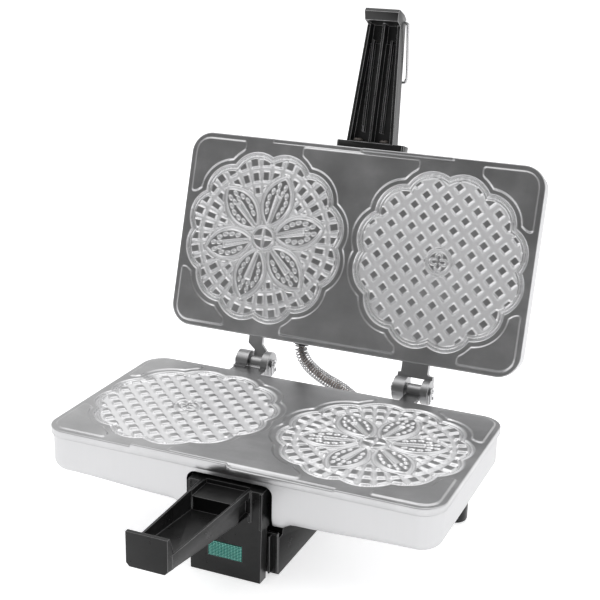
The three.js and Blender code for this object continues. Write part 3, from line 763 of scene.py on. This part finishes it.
low, high = FIELD + GAP, BAND + GAP
hinge_block("base_hinge_left_look", "base", [
    bar(-71.5, -46.4, HALF_D - 0.4, 84, -5.8, -1, "base"),
    lug(-72, -62.7, 8, "base"),
    bar(-72, -62.7, 80, HINGE_Y, -BAND, 0, "base"),
    lug(-51.4, -46.2, 9.2, "base"),
    bar(-51.4, -46.2, 80, HINGE_Y, -BAND, 0, "base"),
])
hinge_block("base_hinge_right_look", "base", [
    bar(58.8, 69.2, HALF_D - 0.4, HINGE_Y, -BAND + 1.7, -1, "base"),
    lug(58.8, 69.2, 4.6, "base"),
])
step_outline = [
    (-67.5, HALF_D - 0.4), (-56.5, HALF_D - 0.4), (-56.5, 78), (-52.3, 82.4),
    (-52.3, HINGE_Y), (-61.8, HINGE_Y), (-61.8, 82.4), (-67.5, 78),
]
hinge_block("lid_hinge_left_look", "lid", [
    slab("bar", step_outline, low + 0.2, high - 1.7, "Z", MAT["hinge"], "lid", True),
    lug(-61.8, -52.3, 4.6, "lid", True),
])
arm_outline = [(51.5, HALF_D - 0.4), (70.8, HALF_D - 0.4), (70.8, 79), (75, 82.8), (49.4, 82.8), (51.5, 79)]
hinge_block("lid_hinge_right_look", "lid", [
    slab("bar", arm_outline, low + 0.2, high - 0.2, "Z", MAT["hinge"], "lid", True),
    lug(49.4, 58, 8.6, "lid", True),
    bar(49.4, 58, 80, HINGE_Y, low, high, "lid", True),
    lug(69.9, 75, 8.6, "lid", True),
    bar(69.9, 75, 80, HINGE_Y, low, high, "lid", True),
])


# ---- pins and their clips ----
def pin(name, node, x0, x1):
    profile = [(0, x0 - 2.2), (2.6, x0 - 2.2), (3.3, x0 - 1.8), (3.5, x0 - 1.2), (3.5, x0 - 0.3),
               (3.2, x0), (2.4, x0),
               (2.4, x1 - 0.6), (1.8, x1), (0, x1)]
    obj = lathe(name, profile, MAT["steel"], "base", (0, HINGE_Y, HINGE_Z), "X", 32)
    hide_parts(node)


pin("hinge_pin_left_look", "hinge_pin_left", -72.6, -43)
pin("hinge_pin_right_look", "hinge_pin_right", 48.8, 77.6)


def clip(name, node, x):
    r = 2.4 + 0.3 + 0.7
    path = [(x, HINGE_Y - r, HINGE_Z - 7), (x, HINGE_Y - r, HINGE_Z - 3.4), (x, HINGE_Y - r, HINGE_Z)]
    for a in range(165, 0, -15):
        path.append((x, HINGE_Y + r * math.cos(math.radians(a)), HINGE_Z + r * math.sin(math.radians(a))))
    path += [(x, HINGE_Y + r, HINGE_Z), (x, HINGE_Y + r, HINGE_Z - 3), (x, HINGE_Y + r, HINGE_Z - 6)]
    obj = tube(name, smooth_path(path, 3), 0.7, MAT["steel"], "base", sides=12)
    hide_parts(node)


clip("pin_clip_left_look", "pin_clip_left", -44.6)
clip("pin_clip_right_look", "pin_clip_right", 76.2)

# ---- the armoured lead between the housings ----
SPRING_RADIUS, SPRING_PITCH, SPRING_WIRE, CABLE_RADIUS = 4.5, 2.2, 0.55, 2.1
LEAD = [
    (-31, 110.4, 11.5), (-30.9, 109.7, 9), (-30, 108.8, 6.6), (-27.2, 107, 3), (-19.5, 103, -2),
    (-7, 98, -6), (7, 93, -8.8), (19, 87.4, -12), (28, 83, -15.8), (33.8, 80, -18.1),
    (35.9, 77.6, -18.9), (36, 75.4, -19),
]


def evenly(path, spacing):
    length = np.concatenate([[0], np.cumsum(np.linalg.norm(np.diff(path, axis=0), axis=1))])
    count = max(2, int(length[-1] / spacing) + 1)
    at = np.linspace(0, length[-1], count)
    return np.stack([np.interp(at, length, path[:, k]) for k in range(3)], 1), length[-1]


def armoured_lead():
    route, length = evenly(smooth_path(LEAD, 12), 0.25)
    _, u, v = frames_along(route)
    turns = length / SPRING_PITCH
    phase = np.linspace(0, 2 * math.pi * turns, len(route))
    helix = route + SPRING_RADIUS * (u * np.cos(phase)[:, None] + v * np.sin(phase)[:, None])
    coil = tube("lead_spring_look", helix, SPRING_WIRE, MAT["spring"], None, sides=7)
    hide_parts("lead_spring")
    line = evenly(route, 1.5)[0]
    core = tube("lead_cable_look", line, CABLE_RADIUS, MAT["sleeve"], None, sides=16, dome=False)
    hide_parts("lead_cable")
    start, end = place(LEAD[-1])[0], place(LEAD[0])[0]
    for piece in (coil, core):
        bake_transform(piece)
    place(line[::-1]).tolist()


armoured_lead()

# ---- glands ----
def gland(name, node, body, x, z, y0, y1, lid=False):
    """A rubber bush with a rounded collar outside the wall and a shouldered sleeve."""
    wall = HALF_D - SHELL_INSET
    profile = [(3.4, y0), (4.9, y0), (5.1, y0 + 0.3), (5.1, wall + 0.3), (6.6, wall + 0.3), (7, wall + 0.7),
               (7, wall + 2.0), (6.5, wall + 2.6), (5.6, wall + 2.6), (5.1, y1 - 0.3), (4.8, y1),
               (3.6, y1), (3.4, y1 - 0.4)]
    segments = 40
    loops = []
    for r, y in profile + [profile[0]]:
        ring = np.linspace(0, 2 * math.pi, segments, endpoint=False)
        loops.append([(x + r * math.cos(a), y, z + r * math.sin(a)) for a in ring])
    obj = loft(name, loops[:-1], MAT["rubber"], body, lid, closed_ends=False)
    bm = bmesh.new()
    bm.from_mesh(obj.data)
    bm.verts.ensure_lookup_table()
    last = (len(profile) - 1) * segments
    for i in range(segments):
        k = (i + 1) % segments
        bm.faces.new([bm.verts[j] for j in (last + i, last + k, k, i)])
    bmesh.ops.recalc_face_normals(bm, faces=bm.faces)
    bm.to_mesh(obj.data)
    bm.free()
    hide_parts(node)


gland("lead_gland_base_look", "lead_gland_base", "base", 36, -19, 64, 75)
gland("cord_gland_look", "cord_gland", "base", -36, -19, 64, 78)
gland("lead_gland_lid_look", "lead_gland_lid", "lid", -31, 15.5, 64, 74.6, True)


# ---- feet, bolts and screws ----
def rear_foot(name, node, side):
    profile = [(0, -TABLE), (7.6, -TABLE), (8.5, -TABLE + 0.35), (8.95, -TABLE + 1.3),
               (9.1, -60), (9.6, -32.3),
               (9.2, -31.35), (2.4, -31.35), (2.4, -34), (0, -34)]
    obj = lathe(name, profile, MAT["phenolic"], "base", (side * 106.5, 58.5, 0), "Z", 48)
    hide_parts(node)


rear_foot("rear_foot_left_look", "rear_foot_left", -1)
rear_foot("rear_foot_right_look", "rear_foot_right", 1)


def screw(name, node, body, at, axis, outward, head_r, shank, material, lid=False, washer=0.0):
    """Domed slotted head with a shank; outward is the sign of the head's direction on the axis."""
    head = [(0, -shank), (1.6, -shank), (2, -shank + 0.6), (2, 0), (head_r, 0), (head_r, 0.5),
            (head_r * 0.86, 1.35), (head_r * 0.5, 1.95), (0, 2.15)]
    if washer:
        head[4:5] = [(head_r + washer, 0), (head_r + washer, 0.4), (head_r, 0.4)]
    obj = lathe(name, [(r, outward * h) for r, h in head], material, body, at, axis, 40, lid)
    d = 0.45
    low_, high_ = sorted((outward * 1.1, outward * 3))
    if axis == "Y":
        slot = block("cutter", at[0] - d, at[0] + d, at[1] + low_, at[1] + high_,
                     at[2] - 5, at[2] + 5, material, body, lid)
    else:
        slot = block("cutter", at[0] - 6, at[0] + 6, at[1] - d, at[1] + d,
                     at[2] + low_, at[2] + high_, material, body, lid)
    boolean(obj, slot)
    bevel(obj, 0.12, 2)
    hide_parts(node)
    return obj


for side, tag in ((-1, "left"), (1, "right")):
    screw("handle_screw_" + tag + "_look", "handle_screw_" + tag, "lid",
          (side * 10, -79.1, 18.2), "Y", -1, 3.5, 10.5,
          MAT["screw"], True)
    screw("base_bolt_" + tag + "_look", "base_bolt_" + tag, "base",
          (side * 60, 8, -BASE_DEPTH - 0.35), "Z", -1, 4.2, 21,
          MAT["steel"])
    screw("lid_bolt_" + tag + "_look", "lid_bolt_" + tag, "lid",
          (side * -60, 8, LID_DEPTH + GAP + 0.35), "Z", 1, 4.2, 20,
          MAT["steel"], True)


# ---- latch wire ----
def latch():
    """Wire loop on the upper handle, drawn with the lid shut, hanging as it does when open."""
    lean = math.radians(16.8)
    reach = 43

    def at(x, d):
        return (x, -166.5 + d * math.cos(lean), 20.5 + d * math.sin(lean))

    half = [at(10.6, 0), at(13, 0), at(14.4, 1), at(14.9, 4),
            at(15.7, reach - 7), at(15, reach - 2), at(12, reach)]
    mirror = [(-x, y, z) for x, y, z in half]
    path = smooth_path(mirror + half[::-1], 8)
    obj = tube("latch_wire_look", path, 1.15, MAT["steel"], "latch", True, 16)
    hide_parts("latch_wire")


latch()

# ---- moulded handles, channel and seal, with rounded edges, most with a painted highlight on them ----
for node, body, width, look, painted_edge_highlight in (
    ("lower_handle", "base", 0.2, "phenolic", "painted_edge_highlight"),
    ("upper_handle", "lid", 0.15, "phenolic_upper", "painted_edge_highlight_upper"),
    ("base_channel", "base", 0.2, "phenolic_painted_shade", "painted_edge_highlight"),
    ("handle_seal", "base", 0.5, "phenolic_painted_shade", None),
):
    refine(node, MAT[look], body, width, painted_edge_highlight=painted_edge_highlight and MAT[painted_edge_highlight])


def channel_flange():
    """Ribs and ledges on the front of the channel, beside the block."""
    for side, tag in ((-1, "left"), (1, "right")):
        for k, (x0, x1, y0, y1, z0, z1) in enumerate((
            (24.6, 25.8, -66.6, -61.2, -70.5, -45), (28.5, 29.7, -63.4, -61.2, -71.5, -45),
            (18, 29.7, -63.4, -61.2, -45, -43.6), (18, 28.5, -62.4, -61.2, -71.5, -45),
        )):
            xs = sorted((side * x0, side * x1))
            name = "channel_rib_%s_%d_look" % (tag, k + 1)
            rib = block(name, xs[0], xs[1], y0, y1, z0, z1, MAT["phenolic"], "base")
            # The rounded edges of the ribs carry the painted highlight.
            bevel(rib, 0.3, 2, painted_edge_highlight=MAT["painted_edge_highlight"])


channel_flange()


# ---- indicator lens ----
def lens():
    """A block whose face is moulded into rows of small pyramids."""
    x0, x1, z0, z1, face, back = -11.4, 11.4, -60.9, -50.6, -76.3, -73
    nx, nz = 44, 20
    gx, gz = np.meshgrid(np.linspace(x0, x1, nx + 1), np.linspace(z0, z1, nz + 1), indexing="ij")
    peak = np.zeros_like(gx)
    peak[1:-1:2, 1:-1:2] = 0.34
    edge = np.minimum(np.minimum(gx - x0, x1 - gx), np.minimum(gz - z0, z1 - gz))
    gy = face - peak * (edge > 0.8) + 0.35 * (edge < 0.1)
    top = np.stack([gx, gy, gz], -1).reshape(-1, 3)
    index = np.arange((nx + 1) * (nz + 1)).reshape(nx + 1, nz + 1)
    quads = np.stack([index[:-1, :-1], index[1:, :-1], index[1:, 1:], index[:-1, 1:]], -1).reshape(-1, 4)
    ring = np.concatenate([index[:-1, 0], index[-1, :-1], index[:0:-1, -1], index[0, :0:-1]])
    rear = top[ring].copy()
    rear[:, 1] = back
    fresh = np.arange(len(top), len(top) + len(ring))
    side = np.stack([ring, fresh, np.roll(fresh, -1), np.roll(ring, -1)], -1)
    obj = new_object("indicator_lens_look", place(np.concatenate([top, rear])),
                     quads.tolist() + side.tolist() + [fresh.tolist()], MAT["lens"], "base")
    tidy_normals(obj, 20)
    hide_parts("indicator_lens")


lens()

# ---- finishes of the inner pieces, which keep their CAD shapes ----
INNER = {
    "handle_screw": "steel", "foot_stud_left": "steel", "foot_stud_right": "steel",
    "indicator_lamp": "glass",
    "base_heater": "sheet", "lid_heater": "sheet", "base_reflector": "sheet", "lid_reflector": "sheet",
    "thermostat": "ceramic", "thermal_fuse": "steel", "terminal_block": "ceramic",
}
for node, look in INNER.items():
    nodes[node].material_slots[0].material = MAT[look]


# ---- floor and light ----
def studio():
    size = 60
    floor_mesh = bpy.data.meshes.new("floor")
    corners = [(-size, -size, 0), (size, -size, 0), (size, size, 0), (-size, size, 0)]
    floor_mesh.from_pydata(corners, [], [(0, 1, 2, 3)])
    floor = bpy.data.objects.new("floor", floor_mesh)
    floor.location.z = -0.0002
    bpy.context.scene.collection.objects.link(floor)
    m = Shader("floor_look", Roughness=0.9, Specular_IOR_Level=0.1, Emission_Strength=0.6)
    m.shader.inputs["Emission Color"].default_value = (1, 1, 1, 1)
    m.link(m.ramp(m.noise(3, 2), [(0.3, grey(0.90)), (0.7, grey(0.92))]), "Base Color")
    floor_mesh.materials.append(m.material)
    for name, at, aim, size_x, size_y, power in (
        ("key", (-1.1, -0.5, 1.8), (0, 0, 0.1), 1.6, 1.6, 7),
        ("fill", (1.6, -0.2, 1.2), (0, 0, 0.1), 1.4, 1.4, 3),
        ("top", (0.0, 0.5, 2.3), (0, 0, 0.0), 2.6, 2.2, 16),
    ):
        data = bpy.data.lights.new(name, "AREA")
        data.shape = "RECTANGLE"
        data.size, data.size_y, data.energy = size_x, size_y, power
        light = bpy.data.objects.new(name, data)
        light.location = at
        light.rotation_euler = (Vector(aim) - Vector(at)).to_track_quat("-Z", "Y").to_euler()
        bpy.context.scene.collection.objects.link(light)
    world = bpy.data.worlds.new("studio")
    bpy.context.scene.world = world
    world.use_nodes = True
    tree = world.node_tree
    direction = tree.nodes.new("ShaderNodeTexCoord").outputs["Generated"]
    tree.nodes["Background"].inputs["Color"].default_value = (1, 1, 1, 1)
    split = tree.nodes.new("ShaderNodeSeparateXYZ")
    tree.links.new(direction, split.inputs[0])
    ramp = tree.nodes.new("ShaderNodeMapRange")
    for socket, value in (("From Min", -0.9), ("From Max", 0.7), ("To Min", 0.20), ("To Max", 0.95)):
        ramp.inputs[socket].default_value = value
    tree.links.new(split.outputs[1], ramp.inputs["Value"])
    tree.links.new(ramp.outputs[0], tree.nodes["Background"].inputs["Strength"])
    bpy.context.scene.view_settings.view_transform = "Standard"


studio()
